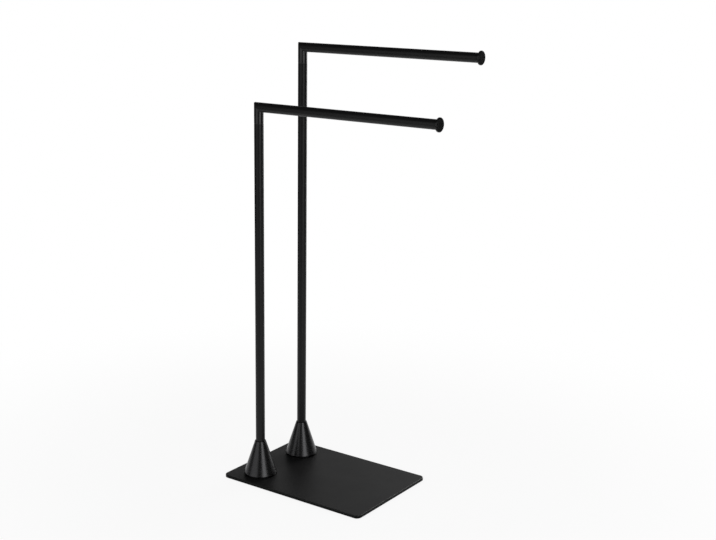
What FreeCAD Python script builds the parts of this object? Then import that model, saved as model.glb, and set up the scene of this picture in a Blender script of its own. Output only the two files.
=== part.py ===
import FreeCAD, Part
import os

import Sketcher
from FreeCAD import Vector

# Freestanding towel stand, in millimetres.
#
# Two round posts of different heights stand on turned cones near one short side of a flat plate.
# A mitred leg turns on the head of each post and carries a horizontal rail with a button cap.
# +Z is up, +X runs along the rails, away from the posts, and +Y from the front post to the rear one.
# The origin is on the floor, under the middle of the plate.

doc = FreeCAD.newDocument("TowelStand")

# ---------------------------------------------------------------------------
# Driving dimensions
# ---------------------------------------------------------------------------

SIZES = (
    # base
    ("plate_length", 346, "base plate along X"),
    ("plate_width", 244, "base plate along Y"),
    ("plate_thickness", 6, "steel of the base plate"),
    ("plate_corner_radius", 12, "rounding of the four corners, seen from above"),
    ("plate_edge_radius", 1.2, "rounding along the plate's top edge"),
    ("plate_under_chamfer", 0.5, "bevel along the plate's lower edge"),
    ("liner_thickness", 1.5, "soft liner between plate and floor"),
    ("liner_margin", 3, "how far the liner stays inside the plate's outline"),
    ("liner_hole_diameter", 24, "opening in the liner for each foot screw"),
    # where the posts stand
    ("post_edge_distance", 58, "post axis from the plate's left short side"),
    ("post_side_distance", 52, "post axis from the plate's nearest long side"),
    ("tube_diameter", 19, "outside of posts, legs and rails"),
    ("tube_wall", 1.2, "wall of the same tubes"),
    ("front_rail_height", 775, "axis of the front rail above the floor"),
    ("rear_rail_height", 885, "axis of the rear rail above the floor"),
    ("rail_reach", 409, "post axis to the end of the rail's tube"),
    ("leg_drop", 31.5, "rail axis down to the swivel joint"),
    ("joint_bevel", 0.3, "bevel of the two tube ends that meet at the swivel joint"),
    # turned cone at the foot of each post
    ("cone_base_diameter", 68, "cone at its foot"),
    ("cone_top_diameter", 23, "cone at its top"),
    ("cone_height", 72, "cone from foot to top"),
    ("cone_foot_height", 3, "upright band round the cone's foot"),
    ("cone_edge_radius", 0.5, "rounding of the cone's rims"),
    ("cone_socket_depth", 58, "how deep the post sits in the cone"),
    ("cone_recess_diameter", 54, "hollow under the cone"),
    ("cone_recess_depth", 8, "depth of that hollow"),
    ("cone_boss_diameter", 24, "boss round the screw inside the hollow"),
    ("socket_clearance", 0.05, "radial gap between post and socket"),
    ("seat_washer_thickness", 1, "washer between plate and cone"),
    ("seat_washer_margin", 2, "how far that washer stays inside the cone's foot"),
    # screw and plug that hold each post
    ("screw_diameter", 8, "foot screw's shank"),
    ("screw_length", 35, "foot screw, overall"),
    ("screw_end_bevel", 0.8, "bevel at the screw's end"),
    ("screw_head_diameter", 16.5, "countersunk head"),
    ("screw_head_land", 0.4, "upright rim of the head"),
    ("screw_head_recess", 0.3, "head below the plate's underside"),
    ("screw_key_size", 5, "hexagon socket across its flats"),
    ("screw_key_depth", 3, "hexagon socket"),
    ("screw_hole_gap", 0.2, "radial gap round the shank in plate, washer and cone"),
    ("thread_gap", 0.05, "radial gap that stands for the threads"),
    ("foot_plug_length", 28, "threaded plug in the foot of the post"),
    # swivel joint
    ("pivot_plug_length", 22, "part of the pivot that is pressed into the post"),
    ("pivot_pin_diameter", 10, "pin that the leg turns on"),
    ("pivot_pin_length", 21, "pin above the head of the post"),
    ("pivot_pin_bevel", 0.8, "bevel at the top of the pin"),
    ("swivel_clearance", 0.05, "radial gap between pin and sleeve"),
    ("thrust_washer_thickness", 0.8, "washer that carries the leg"),
    ("thrust_washer_margin", 0.25, "how far it stays inside the tube's outside"),
    ("thrust_washer_gap", 0.15, "radial gap between pin and washer"),
    ("sleeve_length", 22, "sleeve pressed into the leg"),
    ("stop_screw_height", 12, "axis of the stop screw above the swivel joint"),
    ("stop_screw_diameter", 4, "thread of the stop screw"),
    ("stop_tip_diameter", 2.5, "tip that runs in the pivot's groove"),
    ("stop_tip_length", 1.5, "that tip"),
    ("stop_tip_gap", 0.3, "between the tip and the floor of the groove"),
    ("stop_screw_sink", 0.3, "outer end of the stop screw below the leg's surface"),
    ("stop_key_size", 2, "hexagon socket across its flats"),
    ("stop_key_depth", 1.6, "hexagon socket"),
    ("groove_depth", 1.4, "stop groove in the pin"),
    ("groove_side_gap", 0.35, "above and below the tip in the groove"),
    ("stop_margin", 1, "degrees left between the tip and the groove's end at each limit"),
    ("front_swing_outward", 90, "degrees that the front rail swings away from the rear post"),
    ("front_swing_inward", 75, "degrees that the front rail swings towards the rear post"),
    ("rear_swing_outward", 90, "degrees that the rear rail swings away from the front post"),
    ("rear_swing_inward", 90, "degrees that the rear rail swings over the front post"),
    # end cap of each rail
    ("cap_diameter", 27, "button of the end cap"),
    ("cap_thickness", 3.4, "button of the end cap"),
    ("cap_edge_radius", 1.3, "rounding of the button's front rim"),
    ("cap_back_radius", 0.6, "rounding of the button's back rim"),
    ("cap_neck_length", 3.4, "neck between the tube's end and the button"),
    ("cap_cove_radius", 2.8, "hollow curve from neck to button"),
    ("cap_spigot_length", 16, "part of the cap inside the tube"),
    ("cap_spigot_bevel", 0.8, "bevel at the spigot's end"),
)

sheet = doc.addObject("Spreadsheet::Sheet", "Sizes")
for row, (alias, size, meaning) in enumerate(SIZES, start=1):
    sheet.set(f"A{row}", alias)
    sheet.set(f"B{row}", str(size))
    sheet.set(f"C{row}", meaning)
    sheet.setAlias(f"B{row}", alias)
doc.recompute()

# Places and sizes that follow from the driving dimensions

PLATE_TOP = "(Sizes.liner_thickness + Sizes.plate_thickness)"
CONE_FOOT = f"({PLATE_TOP} + Sizes.seat_washer_thickness)"
CONE_TOP = f"({CONE_FOOT} + Sizes.cone_height)"
POST_FOOT = f"({CONE_TOP} - Sizes.cone_socket_depth)"
POST_X = "(Sizes.post_edge_distance - Sizes.plate_length / 2)"
TUBE_RADIUS = "(Sizes.tube_diameter / 2)"
BORE_RADIUS = "(Sizes.tube_diameter / 2 - Sizes.tube_wall)"
SCREW_HOLE_RADIUS = "(Sizes.screw_diameter / 2 + Sizes.screw_hole_gap)"
THREAD_RADIUS = "(Sizes.screw_diameter / 2 + Sizes.thread_gap)"
PIN_RADIUS = "(Sizes.pivot_pin_diameter / 2)"
GROOVE_RADIUS = f"({PIN_RADIUS} - Sizes.groove_depth)"
STOP_REACH = f"({GROOVE_RADIUS} + Sizes.stop_tip_gap)"
STOP_TIP_RADIUS = "(Sizes.stop_tip_diameter / 2)"

POST_SIGN = {"front": "-", "rear": ""}


def post_y(side):
    return f"{POST_SIGN[side]}(Sizes.plate_width / 2 - Sizes.post_side_distance)"


def rail_axis(side):
    return f"Sizes.{side}_rail_height"


def swivel_joint(side):
    return f"({rail_axis(side)} - Sizes.leg_drop)"


def post_head(side):
    return f"({swivel_joint(side)} - Sizes.thrust_washer_thickness)"


# ---------------------------------------------------------------------------
# Drawing helpers
# ---------------------------------------------------------------------------

TOLERANCE = 1e-4


def number(expression):
    """The value that an expression has now."""
    value = sheet.evalExpression(expression)
    return float(getattr(value, "Value", value))


def new_body(label, x="0", y="0", z="0"):
    """A piece with its own origin at the given place."""
    body = doc.addObject("PartDesign::Body", label)
    body.Label = label
    for axis, place in (("x", x), ("y", y), ("z", z)):
        body.setExpression(f"Placement.Base.{axis}", place)
    return body


def sketch_on(body, role, name, offset="0"):
    """A sketch on one of the piece's own origin planes, moved along the plane's normal."""
    plane = next(feature for feature in body.Origin.OriginFeatures if feature.Role == role)
    sketch = body.newObject("Sketcher::SketchObject", name)
    sketch.AttachmentSupport = (plane, "")
    sketch.MapMode = "FlatFace"
    sketch.setExpression("AttachmentOffset.Base.z", offset)
    return sketch


def tie_point(sketch, geometry, end, x, y):
    """Holds a point of the sketch at its distances from the sketch's origin."""
    for kind, axis, distance in (("DistanceX", -2, x), ("DistanceY", -1, y)):
        if distance == "0":
            sketch.addConstraint(Sketcher.Constraint("PointOnObject", geometry, end, axis))
            continue
        rule = Sketcher.Constraint(kind, -1, 1, geometry, end, number(distance))
        index = sketch.addConstraint(rule)
        sketch.setExpression(f"Constraints[{index}]", distance)


def draw_circle(sketch, radius, x="0", y="0"):
    centre = Vector(number(x), number(y), 0)
    geometry = sketch.addGeometry(Part.Circle(centre, Vector(0, 0, 1), number(radius)))
    tie_point(sketch, geometry, 3, x, y)
    index = sketch.addConstraint(Sketcher.Constraint("Radius", geometry, number(radius)))
    sketch.setExpression(f"Constraints[{index}]", radius)


def draw_outline(sketch, corners):
    """A closed outline of straight lines through (x, y) corners, in an empty sketch."""
    points = [Vector(number(x), number(y), 0) for x, y in corners]
    for here, there in zip(points, points[1:] + points[:1]):
        sketch.addGeometry(Part.LineSegment(here, there))
    for line, (x, y) in enumerate(corners):
        before = (line - 1) % len(corners)
        sketch.addConstraint(Sketcher.Constraint("Coincident", before, 2, line, 1))
        tie_point(sketch, line, 1, x, y)


def draw_hexagon(sketch, across_flats):
    radius = f"{across_flats} / sqrt(3)"
    angles = range(0, 360, 60)
    draw_outline(sketch, [(f"{radius} * cos({a} deg)", f"{radius} * sin({a} deg)") for a in angles])


def pad(body, sketch, name, length):
    feature = body.newObject("PartDesign::Pad", name)
    feature.Profile = sketch
    feature.setExpression("Length", length)
    doc.recompute()


def pocket(body, sketch, name, length=None, reverse=False, both_ways=False):
    """A cut along the sketch's normal: to a length, or right through without one."""
    before = body.Shape.Volume
    feature = body.newObject("PartDesign::Pocket", name)
    feature.Profile = sketch
    feature.Reversed = reverse
    if both_ways:
        feature.SideType = "Symmetric"
    if length is None:
        feature.Type = "ThroughAll"
    else:
        feature.setExpression("Length", length)
    doc.recompute()
    if body.Shape.Volume > before - TOLERANCE:
        raise RuntimeError(f"{body.Label}: {name} cuts nothing")


def revolve(body, sketch, name, axis="V_Axis"):
    feature = body.newObject("PartDesign::Revolution", name)
    feature.Profile = sketch
    feature.ReferenceAxis = (sketch, [axis])
    feature.Angle = 360
    doc.recompute()


def turned(label, x, y, z, corners):
    """A piece turned about its own Z axis, from (radius, height) corners."""
    body = new_body(label, x, y, z)
    sketch = sketch_on(body, "XZ_Plane", f"{label}_profile")
    draw_outline(sketch, corners)
    revolve(body, sketch, f"{label}_turning")
    return body


def tube(label, x, y, z, role, length, offset="0"):
    """A round tube of the stand's own stock, along the normal of an origin plane."""
    body = new_body(label, x, y, z)
    sketch = sketch_on(body, role, f"{label}_section", offset)
    draw_circle(sketch, TUBE_RADIUS)
    draw_circle(sketch, BORE_RADIUS)
    pad(body, sketch, f"{label}_length", length)
    return body


def dress_edges(body, kind, name, size, wanted):
    """Rounds ("Fillet") or bevels ("Chamfer") the edges of the piece that wanted() picks."""
    base = body.Tip
    names = [f"Edge{i}" for i, edge in enumerate(base.Shape.Edges, start=1) if wanted(edge)]
    if not names:
        raise RuntimeError(f"{body.Label}: no edge for {name}")
    feature = body.newObject(f"PartDesign::{kind}", name)
    feature.Base = (base, names)
    feature.setExpression("Radius" if kind == "Fillet" else "Size", size)
    doc.recompute()


def ring_at(radius, height, axis="z"):
    """Picks the full circle of that radius at that height along the axis."""
    wanted_radius = number(radius)
    wanted_height = number(height)

    def picks(edge):
        if not isinstance(edge.Curve, Part.Circle):
            return False
        same_height = abs(getattr(edge.Curve.Center, axis) - wanted_height) < TOLERANCE
        return same_height and abs(edge.Curve.Radius - wanted_radius) < TOLERANCE

    return picks


def upright(edge):
    """Picks straight edges along Z."""
    box = edge.BoundBox
    return isinstance(edge.Curve, Part.Line) and box.XLength + box.YLength < TOLERANCE


def level_at(height):
    """Picks edges that lie level at that height."""
    wanted_height = number(height)

    def picks(edge):
        box = edge.BoundBox
        return box.ZLength < TOLERANCE and abs(box.ZMin - wanted_height) < TOLERANCE

    return picks


# ---------------------------------------------------------------------------
# Base
# ---------------------------------------------------------------------------


def rounded_slab(label, z, margin, thickness):
    """A flat slab with the plate's outline, drawn in by a margin."""
    body = new_body(label, z=z)
    half_length = f"(Sizes.plate_length / 2 - {margin})"
    half_width = f"(Sizes.plate_width / 2 - {margin})"
    sketch = sketch_on(body, "XY_Plane", f"{label}_outline")
    draw_outline(
        sketch,
        [
            (f"-{half_length}", f"-{half_width}"),
            (half_length, f"-{half_width}"),
            (half_length, half_width),
            (f"-{half_length}", half_width),
        ],
    )
    pad(body, sketch, f"{label}_slab", thickness)
    radius = f"Sizes.plate_corner_radius - {margin}"
    dress_edges(body, "Fillet", f"{label}_corners", radius, upright)
    return body


def at_both_posts(sketch, radius):
    for side in POST_SIGN:
        draw_circle(sketch, radius, POST_X, post_y(side))


def make_base_liner():
    """Soft sheet glued under the plate, open round the foot screws."""
    body = rounded_slab("base_liner", "0", "Sizes.liner_margin", "Sizes.liner_thickness")
    sketch = sketch_on(body, "XY_Plane", "liner_openings")
    at_both_posts(sketch, "Sizes.liner_hole_diameter / 2")
    pocket(body, sketch, "liner_holes", reverse=True)
    return body


def make_base_plate():
    """Heavy steel plate, countersunk from below for the two foot screws."""
    body = rounded_slab("base_plate", "Sizes.liner_thickness", "0", "Sizes.plate_thickness")
    top = level_at("Sizes.plate_thickness")
    dress_edges(body, "Fillet", "plate_top_edge", "Sizes.plate_edge_radius", top)
    under = level_at("0")
    dress_edges(body, "Chamfer", "plate_lower_edge", "Sizes.plate_under_chamfer", under)

    sketch = sketch_on(body, "XY_Plane", "screw_places")
    at_both_posts(sketch, SCREW_HOLE_RADIUS)
    before = body.Shape.Volume
    hole = body.newObject("PartDesign::Hole", "screw_holes")
    hole.Profile = sketch
    hole.Reversed = True
    hole.DepthType = "ThroughAll"
    hole.HoleCutType = "Countersink"
    hole.HoleCutCustomValues = True
    hole.HoleCutCountersinkAngle = 90
    hole.setExpression("Diameter", f"2 * {SCREW_HOLE_RADIUS}")
    seat = "2 * (Sizes.screw_head_recess + Sizes.screw_head_land)"
    hole.setExpression("HoleCutDiameter", f"Sizes.screw_head_diameter + {seat}")
    doc.recompute()
    if body.Shape.Volume > before - TOLERANCE:
        raise RuntimeError("base_plate: the screw holes cut nothing")
    return body


# ---------------------------------------------------------------------------
# Foot of each post
# ---------------------------------------------------------------------------


def make_seat_washer(side):
    """Thin washer that keeps the cone off the plate's finish, seen as a dark line."""
    label = f"{side}_seat_washer"
    body = new_body(label, POST_X, post_y(side), PLATE_TOP)
    sketch = sketch_on(body, "XY_Plane", f"{label}_outline")
    draw_circle(sketch, "Sizes.cone_base_diameter / 2 - Sizes.seat_washer_margin")
    draw_circle(sketch, SCREW_HOLE_RADIUS)
    pad(body, sketch, f"{label}_sheet", "Sizes.seat_washer_thickness")
    return body


def make_cone(side):
    """Turned cone with a deep socket for the post and a hollow underside."""
    label = f"{side}_cone"
    foot_radius = "Sizes.cone_base_diameter / 2"
    top_radius = "Sizes.cone_top_diameter / 2"
    socket_radius = f"({TUBE_RADIUS} + Sizes.socket_clearance)"
    socket_floor = "(Sizes.cone_height - Sizes.cone_socket_depth)"
    boss_radius = "Sizes.cone_boss_diameter / 2"
    hollow_radius = "Sizes.cone_recess_diameter / 2"
    corners = [
        (hollow_radius, "0"),
        (foot_radius, "0"),
        (foot_radius, "Sizes.cone_foot_height"),
        (top_radius, "Sizes.cone_height"),
        (socket_radius, "Sizes.cone_height"),
        (socket_radius, socket_floor),
        (SCREW_HOLE_RADIUS, socket_floor),
        (SCREW_HOLE_RADIUS, "0"),
        (boss_radius, "0"),
        (boss_radius, "Sizes.cone_recess_depth"),
        (hollow_radius, "Sizes.cone_recess_depth"),
    ]
    body = turned(label, POST_X, post_y(side), CONE_FOOT, corners)
    for name, radius, height in (
        ("top_rim", top_radius, "Sizes.cone_height"),
        ("foot_shoulder", foot_radius, "Sizes.cone_foot_height"),
        ("foot_rim", foot_radius, "0"),
    ):
        rim = ring_at(radius, height)
        dress_edges(body, "Fillet", f"{label}_{name}", "Sizes.cone_edge_radius", rim)
    return body


def make_post(side):
    """Upright tube from the floor of the cone's socket to the swivel joint."""
    label = f"{side}_post"
    length = f"{post_head(side)} - {POST_FOOT}"
    body = tube(label, POST_X, post_y(side), POST_FOOT, "XY_Plane", length)
    head = ring_at(TUBE_RADIUS, length)
    dress_edges(body, "Chamfer", f"{label}_head_bevel", "Sizes.joint_bevel", head)
    return body


def make_foot_plug(side):
    """Threaded plug pressed into the foot of the post."""
    label = f"{side}_foot_plug"
    corners = [
        (THREAD_RADIUS, "0"),
        (BORE_RADIUS, "0"),
        (BORE_RADIUS, "Sizes.foot_plug_length"),
        (THREAD_RADIUS, "Sizes.foot_plug_length"),
    ]
    return turned(label, POST_X, post_y(side), POST_FOOT, corners)


def make_foot_screw(side):
    """Countersunk socket screw, driven up through plate, washer and cone into the plug."""
    label = f"{side}_foot_screw"
    head_radius = "Sizes.screw_head_diameter / 2"
    shank_radius = "Sizes.screw_diameter / 2"
    neck = f"Sizes.screw_head_land + {head_radius} - {shank_radius}"
    corners = [
        ("0", "0"),
        (head_radius, "0"),
        (head_radius, "Sizes.screw_head_land"),
        (shank_radius, neck),
        (shank_radius, "Sizes.screw_length"),
        ("0", "Sizes.screw_length"),
    ]
    place = "Sizes.liner_thickness + Sizes.screw_head_recess"
    body = turned(label, POST_X, post_y(side), place, corners)
    end = ring_at(shank_radius, "Sizes.screw_length")
    dress_edges(body, "Chamfer", f"{label}_end_bevel", "Sizes.screw_end_bevel", end)
    sketch = sketch_on(body, "XY_Plane", f"{label}_key")
    draw_hexagon(sketch, "Sizes.screw_key_size")
    pocket(body, sketch, f"{label}_socket", "Sizes.screw_key_depth", reverse=True)
    return body


# ---------------------------------------------------------------------------
# Swivel joint at the head of each post
# ---------------------------------------------------------------------------


def swing(side):
    """How far the rail turns clockwise and anticlockwise, seen from above."""
    outward = f"Sizes.{side}_swing_outward"
    inward = f"Sizes.{side}_swing_inward"
    return (outward, inward) if side == "front" else (inward, outward)


def make_pivot(side):
    """Plug in the head of the post with a pin above it, grooved for the stop screw's tip."""
    label = f"{side}_pivot"
    top = "(Sizes.pivot_plug_length + Sizes.pivot_pin_length)"
    corners = [
        ("0", "0"),
        (BORE_RADIUS, "0"),
        (BORE_RADIUS, "Sizes.pivot_plug_length"),
        (PIN_RADIUS, "Sizes.pivot_plug_length"),
        (PIN_RADIUS, top),
        ("0", top),
    ]
    foot = f"{post_head(side)} - Sizes.pivot_plug_length"
    body = turned(label, POST_X, post_y(side), foot, corners)
    pin_end = ring_at(PIN_RADIUS, top)
    dress_edges(body, "Chamfer", f"{label}_pin_bevel", "Sizes.pivot_pin_bevel", pin_end)

    above_plug = "Sizes.thrust_washer_thickness + Sizes.stop_screw_height"
    middle = f"(Sizes.pivot_plug_length + {above_plug})"
    half_height = f"({STOP_TIP_RADIUS} + Sizes.groove_side_gap)"
    outside = f"({PIN_RADIUS} + Sizes.groove_depth)"
    sketch = sketch_on(body, "XZ_Plane", f"{label}_groove_section")
    draw_outline(
        sketch,
        [
            (GROOVE_RADIUS, f"{middle} - {half_height}"),
            (outside, f"{middle} - {half_height}"),
            (outside, f"{middle} + {half_height}"),
            (GROOVE_RADIUS, f"{middle} + {half_height}"),
        ],
    )
    clockwise, anticlockwise = swing(side)
    tip_angle = f"(asin({STOP_TIP_RADIUS} / {STOP_REACH}) / 1 deg + Sizes.stop_margin)"
    before = body.Shape.Volume
    groove = body.newObject("PartDesign::Groove", f"{label}_groove")
    groove.Profile = sketch
    groove.ReferenceAxis = (sketch, ["V_Axis"])
    groove.Midplane = True
    groove.setExpression("Angle", f"{clockwise} + {anticlockwise} + 2 * {tip_angle}")
    doc.recompute()
    if body.Shape.Volume > before - TOLERANCE:
        raise RuntimeError(f"{label}: the groove cuts nothing")

    # The stop screw is on the side away from the rail, so the groove's middle faces that way.
    body.Placement.Rotation = FreeCAD.Rotation(Vector(0, 0, 1), 180)
    facing = f"180 + ({anticlockwise} - {clockwise}) / 2"
    body.setExpression("Placement.Rotation.Angle", facing)
    return body


def make_thrust_washer(side):
    """Slippery washer on the head of the post, which carries the leg."""
    label = f"{side}_thrust_washer"
    body = new_body(label, POST_X, post_y(side), post_head(side))
    sketch = sketch_on(body, "XY_Plane", f"{label}_outline")
    draw_circle(sketch, f"{TUBE_RADIUS} - Sizes.thrust_washer_margin")
    draw_circle(sketch, f"{PIN_RADIUS} + Sizes.thrust_washer_gap")
    pad(body, sketch, f"{label}_sheet", "Sizes.thrust_washer_thickness")
    return body


def drill_for_stop_screw(body):
    """Radial hole on the side away from the rail, in a piece that starts at the joint."""
    sketch = sketch_on(body, "YZ_Plane", f"{body.Label}_stop_place")
    radius = "Sizes.stop_screw_diameter / 2 + Sizes.thread_gap"
    draw_circle(sketch, radius, y="Sizes.stop_screw_height")
    pocket(body, sketch, f"{body.Label}_stop_hole")


def make_swivel_sleeve(side):
    """Sleeve pressed into the leg, which turns on the pin."""
    label = f"{side}_swivel_sleeve"
    inside = f"({PIN_RADIUS} + Sizes.swivel_clearance)"
    corners = [
        (inside, "0"),
        (BORE_RADIUS, "0"),
        (BORE_RADIUS, "Sizes.sleeve_length"),
        (inside, "Sizes.sleeve_length"),
    ]
    body = turned(label, POST_X, post_y(side), swivel_joint(side), corners)
    drill_for_stop_screw(body)
    return body


def make_stop_screw(side):
    """Grub screw through leg and sleeve, whose tip runs in the pivot's groove."""
    label = f"{side}_stop_screw"
    height = f"{swivel_joint(side)} + Sizes.stop_screw_height"
    shoulder = f"({STOP_REACH} + Sizes.stop_tip_length)"
    outer_end = f"({TUBE_RADIUS} - Sizes.stop_screw_sink)"
    body = new_body(label, POST_X, post_y(side), height)
    sketch = sketch_on(body, "XZ_Plane", f"{label}_profile")
    draw_outline(
        sketch,
        [
            (STOP_REACH, "0"),
            (outer_end, "0"),
            (outer_end, "Sizes.stop_screw_diameter / 2"),
            (shoulder, "Sizes.stop_screw_diameter / 2"),
            (shoulder, STOP_TIP_RADIUS),
            (STOP_REACH, STOP_TIP_RADIUS),
        ],
    )
    revolve(body, sketch, f"{label}_turning", "H_Axis")
    key = sketch_on(body, "YZ_Plane", f"{label}_key", outer_end)
    draw_hexagon(key, "Sizes.stop_key_size")
    pocket(body, key, f"{label}_socket", "Sizes.stop_key_depth")
    body.Placement.Rotation = FreeCAD.Rotation(Vector(0, 0, 1), 180)
    return body


# ---------------------------------------------------------------------------
# Leg, rail and end cap
# ---------------------------------------------------------------------------


def cut_mitre(body, corner_height, side_to_cut):
    """Cuts a tube at 45 degrees through the corner, on its upper or its lower side."""
    over = "Sizes.tube_diameter"
    sketch = sketch_on(body, "XZ_Plane", f"{body.Label}_mitre_line")
    third = {
        "upper": (over, f"{corner_height} + {over}"),
        "lower": (f"-{over}", f"{corner_height} - {over}"),
    }
    draw_outline(
        sketch,
        [
            (f"-{over}", f"{corner_height} + {over}"),
            (over, f"{corner_height} - {over}"),
            third[side_to_cut],
        ],
    )
    pocket(body, sketch, f"{body.Label}_mitre", both_ways=True)


def make_leg(side):
    """Short upright tube over the pivot, mitred at the top where the rail is welded on."""
    label = f"{side}_leg"
    length = f"Sizes.leg_drop + {TUBE_RADIUS}"
    body = tube(label, POST_X, post_y(side), swivel_joint(side), "XY_Plane", length)
    cut_mitre(body, "Sizes.leg_drop", "upper")
    foot = ring_at(TUBE_RADIUS, "0")
    dress_edges(body, "Chamfer", f"{label}_foot_bevel", "Sizes.joint_bevel", foot)
    drill_for_stop_screw(body)
    return body


def make_rail(side):
    """Horizontal tube, mitred where it meets the leg."""
    label = f"{side}_rail"
    length = f"Sizes.rail_reach + {TUBE_RADIUS}"
    body = tube(
        label, POST_X, post_y(side), rail_axis(side), "YZ_Plane", length, f"-{TUBE_RADIUS}"
    )
    cut_mitre(body, "0", "lower")
    return body


def make_end_cap(side):
    """Turned button with a coved neck, on a spigot that is pressed into the rail."""
    label = f"{side}_end_cap"
    neck_end = "(Sizes.cap_spigot_length + Sizes.cap_neck_length)"
    face = f"({neck_end} + Sizes.cap_thickness)"
    cap_radius = "Sizes.cap_diameter / 2"
    start = f"{POST_X} + Sizes.rail_reach - Sizes.cap_spigot_length"
    body = new_body(label, start, post_y(side), rail_axis(side))
    sketch = sketch_on(body, "XZ_Plane", f"{label}_profile")
    draw_outline(
        sketch,
        [
            ("0", "0"),
            (face, "0"),
            (face, cap_radius),
            (neck_end, cap_radius),
            (neck_end, TUBE_RADIUS),
            ("Sizes.cap_spigot_length", TUBE_RADIUS),
            ("Sizes.cap_spigot_length", BORE_RADIUS),
            ("0", BORE_RADIUS),
        ],
    )
    revolve(body, sketch, f"{label}_turning", "H_Axis")
    for kind, name, size, radius, place in (
        ("Fillet", "cove", "Sizes.cap_cove_radius", TUBE_RADIUS, neck_end),
        ("Fillet", "face_rim", "Sizes.cap_edge_radius", cap_radius, face),
        ("Fillet", "back_rim", "Sizes.cap_back_radius", cap_radius, neck_end),
        ("Chamfer", "spigot_bevel", "Sizes.cap_spigot_bevel", BORE_RADIUS, "0"),
    ):
        dress_edges(body, kind, f"{label}_{name}", size, ring_at(radius, place, "x"))
    return body


# ---------------------------------------------------------------------------
# The stand
# ---------------------------------------------------------------------------

MAKERS = (
    make_seat_washer,
    make_cone,
    make_post,
    make_foot_plug,
    make_foot_screw,
    make_pivot,
    make_thrust_washer,
    make_swivel_sleeve,
    make_stop_screw,
    make_leg,
    make_rail,
    make_end_cap,
)

pieces = [make_base_liner(), make_base_plate()]
for side in POST_SIGN:
    for maker in MAKERS:
        pieces.append(maker(side))
doc.recompute()

for item in doc.Objects:
    if {"Invalid", "Error"} & set(item.State):
        raise RuntimeError(f"{item.Label} did not recompute: {item.State}")
for piece in pieces:
    shape = piece.Shape
    if shape.isNull() or not shape.isValid() or len(shape.Solids) != 1:
        raise RuntimeError(f"{piece.Label} is not one sound solid")

os.makedirs("parts", exist_ok=True)
for piece in pieces:
    piece.Shape.exportStep(f"parts/{piece.Label}.step")
    print(f"{piece.Label:24s} {piece.Shape.Volume / 1000:10.3f} cm3")
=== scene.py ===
import math

import bpy
from bpy.props import FloatProperty, FloatVectorProperty, PointerProperty
from bpy.types import Operator, Panel, PropertyGroup
from mathutils import Euler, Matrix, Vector


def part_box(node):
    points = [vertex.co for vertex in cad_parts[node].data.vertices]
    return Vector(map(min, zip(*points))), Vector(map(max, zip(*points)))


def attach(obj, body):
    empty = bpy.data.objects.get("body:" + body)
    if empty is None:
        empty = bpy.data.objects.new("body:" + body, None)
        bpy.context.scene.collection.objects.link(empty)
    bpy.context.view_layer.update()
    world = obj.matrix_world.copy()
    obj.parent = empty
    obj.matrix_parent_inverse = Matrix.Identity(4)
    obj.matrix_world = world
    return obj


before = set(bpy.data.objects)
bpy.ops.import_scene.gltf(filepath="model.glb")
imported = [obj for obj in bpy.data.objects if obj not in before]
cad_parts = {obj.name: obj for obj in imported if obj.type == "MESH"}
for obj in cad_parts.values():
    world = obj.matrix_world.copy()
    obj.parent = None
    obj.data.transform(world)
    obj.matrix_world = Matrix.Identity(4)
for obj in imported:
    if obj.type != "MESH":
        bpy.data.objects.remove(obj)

bl_info = {
    "name": "Towel stand looks",
    "version": (1, 0, 0),
    "blender": (4, 5, 0),
    "location": "View3D > Sidebar > Towel Stand",
    "description": "Finishes, welded corners, studio and camera for a freestanding towel stand",
    "category": "Object",
}

MM = 0.001
# How far a coat's roughness wanders from its middle
WANDER = 0.02
# Neighbouring faces of a new piece that meet flatter than this are shaded as one
SMOOTH_ANGLE = math.radians(35)
SENSOR_WIDTH = 36
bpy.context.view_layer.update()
SIDES = ("front", "rear")
ARM_BODY = {"front": "front_arm", "rear": "rear_arm"}


# ---------------------------------------------------------------------------
# Settings that a user would change
# ---------------------------------------------------------------------------


def length(name, description, default):
    return FloatProperty(
        name=name, description=description, default=default, min=0, unit="LENGTH", precision=5
    )


def share(name, description, default):
    return FloatProperty(
        name=name, description=description, default=default, min=0, max=1, subtype="FACTOR"
    )


def colour(name, description, default):
    return FloatVectorProperty(
        name=name, description=description, default=default, min=0, max=1, subtype="COLOR"
    )


def power(name, description, default):
    return FloatProperty(name=name, description=description, default=default, min=0, unit="POWER")


def angle(name, description, degrees):
    return FloatProperty(
        name=name, description=description, default=math.radians(degrees), subtype="ANGLE"
    )


class CoatSettings(PropertyGroup):
    """Powder coat of the plate, the tubes and the end caps."""

    colour: colour("Coat colour", "Black of the powder coat", (0.0042, 0.0042, 0.0044))
    plate_roughness: share("Plate", "Roughness of the coat on the plate", 0.52)
    plate_sheen: share("Plate reflection", "Specular level of the plate's coat", 0.30)
    edge_roughness: share("Plate edge", "Roughness where the coat flows thin over the edge", 0.22)
    edge_sheen: share("Edge reflection", "Specular level on the plate's rounded edge", 0.80)
    side_sheen: share("Side reflection", "Specular level on the plate's dull sides", 0.05)
    tube_roughness: share("Tubes", "Roughness of the coat on posts and rails", 0.40)
    sheen: share("Reflection", "Specular level of the coat on posts, rails and caps", 0.21)
    leg_roughness: share("Legs", "Roughness of the coat on the upright legs", 0.30)
    leg_sheen: share("Leg reflection", "Specular level of the legs' coat", 0.40)
    cap_roughness: share("Caps", "Roughness of the coat on the end caps", 0.20)
    peel_size: length("Orange peel", "Width of the soft waves in the coat", 1.4 * MM)
    grain_size: length("Grain", "Width of the fine grain in the coat", 0.22 * MM)
    relief: length("Relief", "Depth of the waves and the grain", 0.03 * MM)


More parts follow.
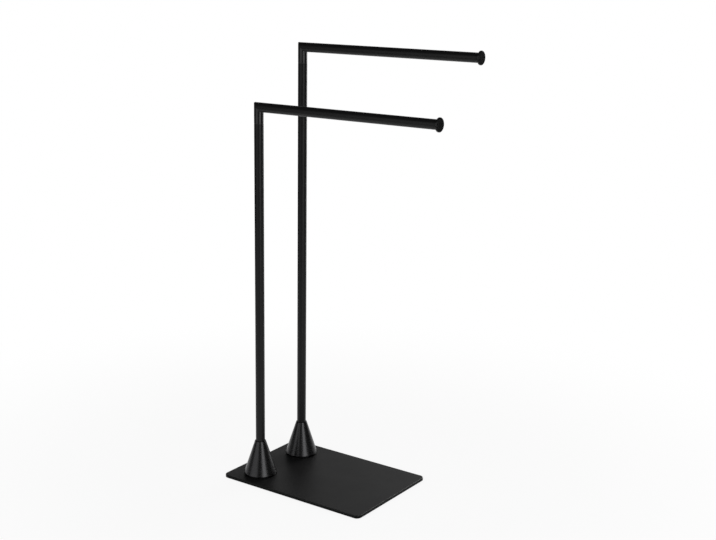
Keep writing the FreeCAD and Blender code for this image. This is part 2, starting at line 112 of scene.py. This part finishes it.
class MetalSettings(PropertyGroup):
    """Turned cones and the bare metal of the fixings."""

    cone_colour: colour("Cones", "Black anodised metal of the cones", (0.040, 0.040, 0.041))
    cone_roughness: share("Cone roughness", "Sheen of the turned cones", 0.27)
    cone_streak: share("Cone streak", "How far that sheen is drawn out across the rings", 0.35)
    ring_pitch: length("Turning pitch", "From one turned line to the next", 0.30 * MM)
    ring_depth: length("Turning depth", "Depth of the turned lines", 0.001 * MM)
    zinc_colour: colour("Zinc", "Plated steel of screws, plugs and pivots", (0.58, 0.58, 0.55))
    brass_colour: colour("Brass", "Sleeves that turn on the pivots", (0.72, 0.50, 0.20))


class SoftSettings(PropertyGroup):
    """Washers and the liner under the plate."""

    nylon_colour: colour("Nylon", "Black washers", (0.012, 0.012, 0.013))
    rubber_colour: colour("Liner", "Soft sheet under the plate", (0.020, 0.020, 0.021))
    cell_size: length("Cells", "Closed cells of the liner's foam", 0.8 * MM)


class CornerSettings(PropertyGroup):
    """Welded and ground corner between each leg and its rail."""

    seam_width: length("Seam width", "Ground weld across the corner's joint", 1.6 * MM)
    seam_rise: length("Seam rise", "How far the ground weld stands above the tube", 0.09 * MM)
    fillet_rise: length("Fillet", "Extra thickness of the weld in the inner corner", 0.9 * MM)


class StageSettings(PropertyGroup):
    """Floor, lamps and background."""

    floor_radius: length("Floor", "Radius of the pale floor", 1.6)
    fade_start: share("Fade start", "Share of the radius where the floor starts to whiten", 0.2)
    fade_end: share("Fade end", "Share of the radius where the floor is pure white", 0.8)
    floor_colour: colour("Floor colour", "Matt white of the floor", (0.86, 0.86, 0.86))
    floor_whitening: share("Whitening", "How white the floor looks to camera and reflections", 0.88)
    fill: FloatProperty(name="Fill", description="Even light from all round", default=0.4)
    studio_dark: share("Dark studio", "What shiny surfaces see away from the backdrop", 0.05)
    backdrop_turn: angle("Backdrop", "Lit backdrop's middle, right of straight behind", 20)
    backdrop_core: angle("Backdrop core", "From its middle to where it starts to fade", 19.95)
    backdrop_edge: angle("Backdrop edge", "From its middle to where it has faded", 42.27)
    ceiling_edge: angle("Ceiling edge", "Above the horizon, where it starts to darken", 11.54)
    ceiling_core: angle("Ceiling", "Above the horizon, where it is quite dark", 36.87)
    lamp_distance: length("Lamp distance", "From the stand to each softbox", 2.4)
    lamp_height: length("Lamp height", "Each softbox, from its foot up", 2.3)
    lamp_foot: length("Lamp foot", "Each softbox's lower edge above the floor", 0.02)
    left_bearing: angle("Left bearing", "Left softbox, right of the camera", -47)
    left_width: length("Left width", "Left softbox", 2.3)
    left_power: power("Left power", "Left softbox", 17)
    right_bearing: angle("Right bearing", "Right softbox, right of the camera", 31)
    right_width: length("Right width", "Right softbox", 1.2)
    right_power: power("Right power", "Right softbox", 26)
    rim_bearing: angle("Rim bearing", "Softbox behind the stand, right of the camera", 142)
    rim_width: length("Rim width", "Softbox behind the stand", 1.1)
    rim_power: power("Rim power", "Softbox behind the stand", 25)


class CameraSettings(PropertyGroup):
    """The photograph's point of view."""

    target: FloatVectorProperty(
        name="Target", description="Point in the middle of the picture",
        default=(0.07185, 0.00953, 0.46025), subtype="XYZ", unit="LENGTH",
    )
    distance: length("Distance", "From the camera to the target", 2.4502)
    azimuth: angle("Azimuth", "Turn round the stand, from the view along +Y", 34.966)
    elevation: angle("Elevation", "Camera above the horizon", 13.851)
    roll: angle("Roll", "Turn about the line of sight", 0.839)
    lens: FloatProperty(
        name="Lens", description=f"Focal length on a {SENSOR_WIDTH} mm wide sensor",
        default=62.09, unit="CAMERA",
    )


GROUPS = {
    "stand_coat": CoatSettings,
    "stand_metal": MetalSettings,
    "stand_soft": SoftSettings,
    "stand_corner": CornerSettings,
    "stand_stage": StageSettings,
    "stand_camera": CameraSettings,
}


# ---------------------------------------------------------------------------
# Materials
# ---------------------------------------------------------------------------


class Nodes:
    """A node tree that is built one node at a time."""

    def __init__(self, tree):
        self.tree = tree

    def add(self, kind, inputs=None, **settings):
        """A node with its settings, and with values or links for its inputs."""
        node = self.tree.nodes.new(kind)
        for name, value in settings.items():
            setattr(node, name, value)
        for name, value in (inputs or {}).items():
            self.feed(node, name, value)
        return node

    def feed(self, node, name, value):
        if isinstance(value, bpy.types.NodeSocket):
            self.tree.links.new(value, node.inputs[name])
        else:
            node.inputs[name].default_value = value

    def ramp(self, value, start, end, low, high):
        """value from start to end, softly, as a value from low to high."""
        node = self.add(
            "ShaderNodeMapRange",
            {"Value": value, "From Min": start, "From Max": end, "To Min": low, "To Max": high},
            interpolation_type="SMOOTHSTEP",
        )
        return node.outputs["Result"]

    def either(self, first, second):
        """The larger of two values, so 1 where either is 1."""
        node = self.add("ShaderNodeMath", {0: first, 1: second}, operation="MAXIMUM")
        return node.outputs["Value"]

    def rays(self):
        """Two values: 1 for camera rays, and 1 for what shiny or clear surfaces see."""
        path = self.add("ShaderNodeLightPath").outputs
        mirrored = self.either(path["Is Glossy Ray"], path["Is Transmission Ray"])
        return path["Is Camera Ray"], mirrored

    def blend(self, share_of_second, first, second):
        """A mix of two shaders."""
        node = self.add("ShaderNodeMixShader", {0: share_of_second, 1: first, 2: second})
        return node.outputs[0]


class Finish(Nodes):
    """A material with a Principled shader, on the object's own coordinates."""

    def __init__(self, name):
        self.material = bpy.data.materials.new(name)
        self.material.use_nodes = True
        super().__init__(self.material.node_tree)
        self.surface = self.tree.nodes["Principled BSDF"]
        self.place = self.add("ShaderNodeTexCoord").outputs["Object"]

    def set(self, **values):
        """Values on the shader's own sockets, by name with _ for a space."""
        for name, value in values.items():
            self.feed(self.surface, name.replace("_", " "), value)

    def source(self, name):
        """What feeds one of the shader's own sockets."""
        return self.surface.inputs[name].links[0].from_socket

    def noise(self, size, detail=2.0):
        """Soft noise whose features are about that size, in metres."""
        node = self.add(
            "ShaderNodeTexNoise", {"Vector": self.place, "Scale": 1 / size, "Detail": detail}
        )
        return node.outputs["Fac"]

    def height(self):
        return self.add("ShaderNodeSeparateXYZ", {"Vector": self.place}).outputs["Z"]

    def turned(self, pitch, detail):
        """Noise that changes along Z only, as a lathe leaves it."""
        node = self.add(
            "ShaderNodeTexNoise",
            {"W": self.height(), "Scale": 1 / pitch, "Detail": detail},
            noise_dimensions="1D",
        )
        return node.outputs["Fac"]

    def uneven(self, noise, low, high, start=0.3, end=0.7):
        """Noise as a value from low to high; 0.3 to 0.7 is where most of it lies."""
        return self.ramp(noise, start, end, low, high)

    def tones(self, noise, tone, dark, light):
        """One tone, made darker and lighter by two factors."""
        node = self.add(
            "ShaderNodeMix",
            {"Factor": noise, "A": scaled(tone, dark), "B": scaled(tone, light)},
            data_type="RGBA",
        )
        return node.outputs["Result"]

    def sum(self, first, second, weight):
        """first + second * weight."""
        node = self.add(
            "ShaderNodeMath", {0: second, 1: weight, 2: first}, operation="MULTIPLY_ADD"
        )
        return node.outputs["Value"]

    def bump(self, height, depth, strength):
        node = self.add(
            "ShaderNodeBump", {"Height": height, "Distance": depth, "Strength": strength}
        )
        return node.outputs["Normal"]


def scaled(tone, factor):
    return (*(channel * factor for channel in tone), 1)


def once(maker):
    """Makes a material on its first use and hands out the same one afterwards."""
    made = []

    def material():
        if not made:
            made.append(maker())
        return made[0]

    return material


def coated(name, roughness, sheen, relief):
    """A shader for black polyester powder: soft orange peel, fine grain, uneven satin."""
    coat = bpy.context.scene.stand_coat
    shader = Finish(name)
    peel = shader.noise(coat.peel_size)
    grain = shader.noise(coat.grain_size, detail=3)
    clouds = shader.noise(60 * MM)
    sheen_noise = shader.sum(clouds, grain, 0.4)
    shader.set(
        Base_Color=shader.tones(clouds, coat.colour, 0.85, 1.2),
        Roughness=shader.uneven(sheen_noise, roughness - WANDER, roughness + WANDER, 0.4, 1.0),
        Specular_IOR_Level=sheen,
        Normal=shader.bump(shader.sum(peel, grain, 0.5), relief, 0.6),
    )
    return shader


@once
def plate_coat():
    """The coat lies satin on the plate's top, smooth on its rounded edge and dull on its sides."""
    coat = bpy.context.scene.stand_coat
    shader = coated("plate_coat", coat.plate_roughness, coat.plate_sheen, coat.relief)
    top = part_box("base_plate")[1][2]
    height = shader.height()
    side_to_edge = (top - 0.80 * MM, top - 0.50 * MM)
    edge_to_top = (top - 0.10 * MM, top - 0.02 * MM)
    satin = shader.source("Roughness")
    below_top = shader.ramp(height, *side_to_edge, coat.side_sheen, coat.edge_sheen)
    shader.set(
        Roughness=shader.ramp(height, *edge_to_top, coat.edge_roughness, satin),
        Specular_IOR_Level=shader.ramp(height, *edge_to_top, below_top, coat.plate_sheen),
    )
    return shader.material


@once
def tube_coat():
    coat = bpy.context.scene.stand_coat
    return coated("tube_coat", coat.tube_roughness, coat.sheen, coat.relief).material


@once
def leg_coat():
    """The same powder, flowed out smoother on the short legs."""
    coat = bpy.context.scene.stand_coat
    return coated("leg_coat", coat.leg_roughness, coat.leg_sheen, coat.relief / 2).material


@once
def cap_coat():
    coat = bpy.context.scene.stand_coat
    return coated("cap_coat", coat.cap_roughness, coat.sheen, coat.relief / 2).material


@once
def turned_anodised():
    """Black anodised aluminium with the fine lines of the lathe round the cone."""
    metal = bpy.context.scene.stand_metal
    shader = Finish("turned_anodised")
    rings = shader.turned(3 * MM, detail=1.0)
    lines = shader.turned(metal.ring_pitch, detail=2.0)
    clouds = shader.noise(9 * MM)
    round_the_axis = shader.add("ShaderNodeTangent", direction_type="RADIAL", axis="Z")
    roughness = metal.cone_roughness
    shader.set(
        Base_Color=shader.tones(clouds, metal.cone_colour, 0.9, 1.1),
        Metallic=1.0,
        Roughness=shader.uneven(rings, roughness - WANDER, roughness + WANDER),
        Anisotropic=metal.cone_streak,
        Tangent=round_the_axis.outputs["Tangent"],
        Normal=shader.bump(lines, metal.ring_depth, 0.5),
    )
    return shader.material


@once
def moulded_nylon():
    """Black washers with the faint bloom of the mould."""
    soft = bpy.context.scene.stand_soft
    shader = Finish("moulded_nylon")
    bloom = shader.noise(5 * MM)
    mould_grain = shader.noise(0.5 * MM)
    shader.set(
        Base_Color=shader.tones(bloom, soft.nylon_colour, 0.8, 1.3),
        Roughness=shader.uneven(bloom, 0.42, 0.56),
        Normal=shader.bump(mould_grain, 0.02 * MM, 0.5),
    )
    return shader.material


@once
def foam_liner():
    """Closed-cell foam sheet, matt and slightly dusty."""
    soft = bpy.context.scene.stand_soft
    shader = Finish("foam_liner")
    cells = shader.add(
        "ShaderNodeTexVoronoi", {"Vector": shader.place, "Scale": 1 / soft.cell_size}
    ).outputs["Distance"]
    dust = shader.noise(25 * MM, detail=4)
    shader.set(
        Base_Color=shader.tones(dust, soft.rubber_colour, 0.8, 1.6),
        Roughness=shader.uneven(dust, 0.82, 0.95),
        Specular_IOR_Level=0.25,
        Normal=shader.bump(cells, 0.06 * MM, 0.8),
    )
    return shader.material


@once
def plated_steel():
    """Zinc-plated steel, faintly mottled."""
    metal = bpy.context.scene.stand_metal
    shader = Finish("plated_steel")
    mottle = shader.noise(2.5 * MM, detail=4)
    crystals = shader.noise(0.25 * MM)
    shader.set(
        Base_Color=shader.tones(mottle, metal.zinc_colour, 0.8, 1.0),
        Metallic=1.0,
        Roughness=shader.uneven(mottle, 0.30, 0.46),
        Normal=shader.bump(crystals, 0.01 * MM, 0.6),
    )
    return shader.material


@once
def sleeve_brass():
    """Brass of the swivel sleeves, dull on the outside."""
    metal = bpy.context.scene.stand_metal
    shader = Finish("sleeve_brass")
    tarnish = shader.noise(4 * MM, detail=3)
    scratches = shader.noise(0.3 * MM)
    shader.set(
        Base_Color=shader.tones(tarnish, metal.brass_colour, 0.75, 1.0),
        Metallic=1.0,
        Roughness=shader.uneven(tarnish, 0.25, 0.42),
        Normal=shader.bump(scratches, 0.01 * MM, 0.6),
    )
    return shader.material


# ---------------------------------------------------------------------------
# Modelling helpers
# ---------------------------------------------------------------------------


def finish_nodes(names, material):
    """Gives CAD nodes, which stay as they are, their material."""
    for name in names:
        for material_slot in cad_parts[name].material_slots:
            material_slot.material = material


def both(piece):
    return [f"{side}_{piece}" for side in SIDES]


def deselect_all():
    bpy.ops.object.select_all(action="DESELECT")


def take_new(name):
    """The object that an operator has just added, named."""
    piece = bpy.context.active_object
    piece.name = name
    piece.data.name = name
    return piece


def settle(piece, material, body):
    """Puts the piece's place into its mesh and gives it its finish and its body."""
    deselect_all()
    piece.select_set(True)
    bpy.context.view_layer.objects.active = piece
    bpy.ops.object.transform_apply(location=True, rotation=True, scale=True)
    bpy.ops.object.shade_smooth_by_angle(angle=SMOOTH_ANGLE)
    piece.data.materials.clear()
    piece.data.materials.append(material)
    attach(piece, body)


# ---------------------------------------------------------------------------
# The stand
# ---------------------------------------------------------------------------


class STAND_OT_finish_base(Operator):
    """Powder-coated plate on its foam liner"""

    bl_idname = "towel_stand.finish_base"
    bl_label = "Finish the base"

    def execute(self, context):
        finish_nodes(["base_plate"], plate_coat())
        finish_nodes(["base_liner"], foam_liner())
        return {"FINISHED"}


class STAND_OT_finish_cones(Operator):
    """Turned cones on their washers"""

    bl_idname = "towel_stand.finish_cones"
    bl_label = "Finish the cones"

    def execute(self, context):
        finish_nodes(both("cone"), turned_anodised())
        finish_nodes(both("seat_washer"), moulded_nylon())
        return {"FINISHED"}


class STAND_OT_finish_tubes(Operator):
    """Powder-coated posts, legs, rails and end caps"""

    bl_idname = "towel_stand.finish_tubes"
    bl_label = "Finish the tubes"

    def execute(self, context):
        for piece in ("post", "rail"):
            finish_nodes(both(piece), tube_coat())
        finish_nodes(both("leg"), leg_coat())
        finish_nodes(both("end_cap"), cap_coat())
        return {"FINISHED"}


class STAND_OT_finish_fixings(Operator):
    """Screws, plugs, pivots, sleeves and thrust washers"""

    bl_idname = "towel_stand.finish_fixings"
    bl_label = "Finish the fixings"

    def execute(self, context):
        for piece in ("foot_plug", "foot_screw", "pivot", "stop_screw"):
            finish_nodes(both(piece), plated_steel())
        finish_nodes(both("swivel_sleeve"), sleeve_brass())
        finish_nodes(both("thrust_washer"), moulded_nylon())
        return {"FINISHED"}


class STAND_OT_weld_corners(Operator):
    """Weld round each mitred corner, ground flush outside and left as a fillet inside"""

    bl_idname = "towel_stand.weld_corners"
    bl_label = "Weld the corners"

    def execute(self, context):
        corner = context.scene.stand_corner
        slant = math.radians(45)
        for side in SIDES:
            low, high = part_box(f"{side}_leg")
            tube_radius = (high[0] - low[0]) / 2
            middle = Vector(
                ((low[0] + high[0]) / 2, (low[1] + high[1]) / 2, high[2] - tube_radius)
            )
            bead = corner.seam_width / 2
            ring_radius = tube_radius + corner.seam_rise - bead
            deselect_all()
            bpy.ops.mesh.primitive_torus_add(
                major_radius=ring_radius, minor_radius=bead, major_segments=96,
                minor_segments=12, location=middle, rotation=(0, slant, 0),
            )
            weld = take_new(f"{side}_corner_weld")
            deselect_all()
            weld.select_set(True)
            bpy.ops.object.mode_set(mode="EDIT")
            bpy.ops.mesh.select_mode(type="VERT")
            bpy.ops.mesh.select_all(action="SELECT")
            # A round tube cut at 45 degrees has an oval edge.
            bpy.ops.transform.resize(
                value=(1 / math.cos(slant), 1, 1), orient_type="LOCAL", center_override=middle
            )
            bpy.ops.mesh.select_all(action="DESELECT")
            bpy.ops.object.mode_set(mode="OBJECT")
            self.raise_fillet(weld, ring_radius / math.cos(slant), corner.fillet_rise)
            settle(weld, leg_coat(), ARM_BODY[side])
        return {"FINISHED"}

    def raise_fillet(self, weld, reach, rise):
        """Lets the bead swell towards the inner corner, at the far end of its own X axis."""
        starts = (0.55, 0.75, 0.9)
        for start in starts:
            for vertex in weld.data.vertices:
                vertex.select = vertex.co.x > start * reach
            bpy.ops.object.mode_set(mode="EDIT")
            bpy.ops.transform.shrink_fatten(value=rise / len(starts))
            bpy.ops.mesh.select_all(action="DESELECT")
            bpy.ops.object.mode_set(mode="OBJECT")
        bpy.ops.object.mode_set(mode="EDIT")
        bpy.ops.mesh.select_all(action="SELECT")
        bpy.ops.mesh.vertices_smooth(factor=0.5, repeat=4)
        bpy.ops.mesh.normals_make_consistent(inside=False)
        bpy.ops.object.mode_set(mode="OBJECT")


# ---------------------------------------------------------------------------
# Stage
# ---------------------------------------------------------------------------


def floor_material(stage):
    """Matt white floor that keeps the stand's shadow and fades into the white background."""
    shader = Finish("pale_floor")
    shader.set(Base_Color=(*stage.floor_colour, 1), Roughness=0.9, Specular_IOR_Level=0.0)
    distance = shader.add("ShaderNodeVectorMath", {0: shader.place}, operation="LENGTH")
    radius = stage.floor_radius
    whitening = shader.ramp(
        distance.outputs["Value"],
        stage.fade_start * radius, stage.fade_end * radius,
        stage.floor_whitening, 1.0,
    )
    seen = shader.either(*shader.rays())
    share_white = shader.add("ShaderNodeMath", {0: whitening, 1: seen}, operation="MULTIPLY")
    white = shader.add("ShaderNodeEmission", {"Color": (1, 1, 1, 1), "Strength": 1.0})
    mixed = shader.blend(
        share_white.outputs["Value"], shader.surface.outputs[0], white.outputs[0]
    )
    shader.feed(shader.tree.nodes["Material Output"], "Surface", mixed)
    return shader.material


def studio_world(stage, camera):
    """White to the camera, an even fill for matt surfaces, and for shiny ones a white
    backdrop behind the stand in an otherwise dark studio."""
    world = bpy.data.worlds.new("studio")
    bpy.context.scene.world = world
    world.use_nodes = True
    world.node_tree.nodes.clear()
    nodes = Nodes(world.node_tree)

    def light(strength):
        return nodes.add(
            "ShaderNodeBackground", {"Color": (1, 1, 1, 1), "Strength": strength}
        ).outputs[0]

    direction = nodes.add("ShaderNodeTexCoord").outputs["Generated"]
    bearing = camera.azimuth - stage.backdrop_turn
    away = (-math.sin(bearing), math.cos(bearing), 0)
    facing = nodes.add("ShaderNodeVectorMath", {0: direction, 1: away}, operation="DOT_PRODUCT")
    backdrop = nodes.ramp(
        facing.outputs["Value"],
        math.cos(stage.backdrop_edge), math.cos(stage.backdrop_core),
        stage.studio_dark, 1.0,
    )
    rise = nodes.add("ShaderNodeSeparateXYZ", {"Vector": direction}).outputs["Z"]
    below_ceiling = nodes.ramp(
        rise, math.sin(stage.ceiling_edge), math.sin(stage.ceiling_core), 1.0, 0.0
    )
    studio = nodes.add(
        "ShaderNodeMapRange",
        {"Value": below_ceiling, "To Min": stage.studio_dark, "To Max": backdrop},
    ).outputs["Result"]
    seen, mirrored = nodes.rays()
    lit = nodes.blend(mirrored, light(stage.fill), light(studio))
    nodes.add("ShaderNodeOutputWorld", {"Surface": nodes.blend(seen, lit, light(1.0))})


def softbox(side, stage, camera):
    """A tall soft lamp that stands near the floor and faces the stand."""
    bearing = camera.azimuth + getattr(stage, f"{side}_bearing")
    away = stage.lamp_distance
    middle = stage.lamp_height / 2 + stage.lamp_foot
    place = (math.sin(bearing) * away, -math.cos(bearing) * away, middle)
    deselect_all()
    bpy.ops.object.light_add(type="AREA", location=place, rotation=(math.pi / 2, 0, bearing))
    lamp = bpy.context.active_object
    lamp.name = f"{side}_softbox"
    lamp.data.shape = "RECTANGLE"
    lamp.data.size = getattr(stage, f"{side}_width")
    lamp.data.size_y = stage.lamp_height
    lamp.data.energy = getattr(stage, f"{side}_power")
    lamp.visible_camera = False


class STAND_OT_set_stage(Operator):
    """Pale floor, three softboxes and a white background"""

    bl_idname = "towel_stand.set_stage"
    bl_label = "Set the stage"

    def execute(self, context):
        stage = context.scene.stand_stage
        camera = context.scene.stand_camera
        deselect_all()
        bpy.ops.mesh.primitive_circle_add(
            vertices=128, radius=stage.floor_radius, fill_type="NGON", location=(0, 0, 0)
        )
        floor = take_new("studio_floor")
        floor.data.materials.append(floor_material(stage))
        for side in ("left", "right", "rim"):
            softbox(side, stage, camera)
        studio_world(stage, camera)
        context.scene.view_settings.view_transform = "Standard"
        return {"FINISHED"}


class STAND_OT_set_camera(Operator):
    """Camera at the photograph's point of view"""

    bl_idname = "towel_stand.set_camera"
    bl_label = "Set the camera"

    def execute(self, context):
        view = context.scene.stand_camera
        turn = (
            Euler((math.pi / 2 - view.elevation, 0, view.azimuth)).to_matrix()
            @ Euler((0, 0, view.roll)).to_matrix()
        )
        place = Vector(view.target) + turn @ Vector((0, 0, view.distance))
        deselect_all()
        bpy.ops.object.camera_add(location=place, rotation=turn.to_euler())
        camera = bpy.context.active_object
        camera.name = "photo_camera"
        camera.data.sensor_fit = "HORIZONTAL"
        camera.data.sensor_width = SENSOR_WIDTH
        camera.data.lens = view.lens
        camera.data.clip_end = 50
        context.scene.camera = camera
        return {"FINISHED"}


# ---------------------------------------------------------------------------
# Sidebar, registration and the whole scene
# ---------------------------------------------------------------------------

STEPS = (
    STAND_OT_set_camera,
    STAND_OT_set_stage,
    STAND_OT_finish_base,
    STAND_OT_finish_cones,
    STAND_OT_finish_tubes,
    STAND_OT_finish_fixings,
    STAND_OT_weld_corners,
)


class STAND_PT_sidebar(Panel):
    bl_idname = "STAND_PT_sidebar"
    bl_label = "Towel Stand"
    bl_space_type = "VIEW_3D"
    bl_region_type = "UI"
    bl_category = "Towel Stand"

    def draw(self, context):
        for name, group in GROUPS.items():
            box = self.layout.box()
            box.label(text=group.__doc__)
            for setting in group.__annotations__:
                box.prop(getattr(context.scene, name), setting)
        for step in STEPS:
            self.layout.operator(step.bl_idname)


CLASSES = (*GROUPS.values(), *STEPS, STAND_PT_sidebar)


def register():
    for cls in CLASSES:
        bpy.utils.register_class(cls)
    for name, group in GROUPS.items():
        setattr(bpy.types.Scene, name, PointerProperty(type=group))


def unregister():
    for name in GROUPS:
        delattr(bpy.types.Scene, name)
    for cls in reversed(CLASSES):
        bpy.utils.unregister_class(cls)


def main():
    register()
    for step in STEPS:
        group, name = step.bl_idname.split(".")
        getattr(getattr(bpy.ops, group), name)()


if __name__ == "__main__":
    main()
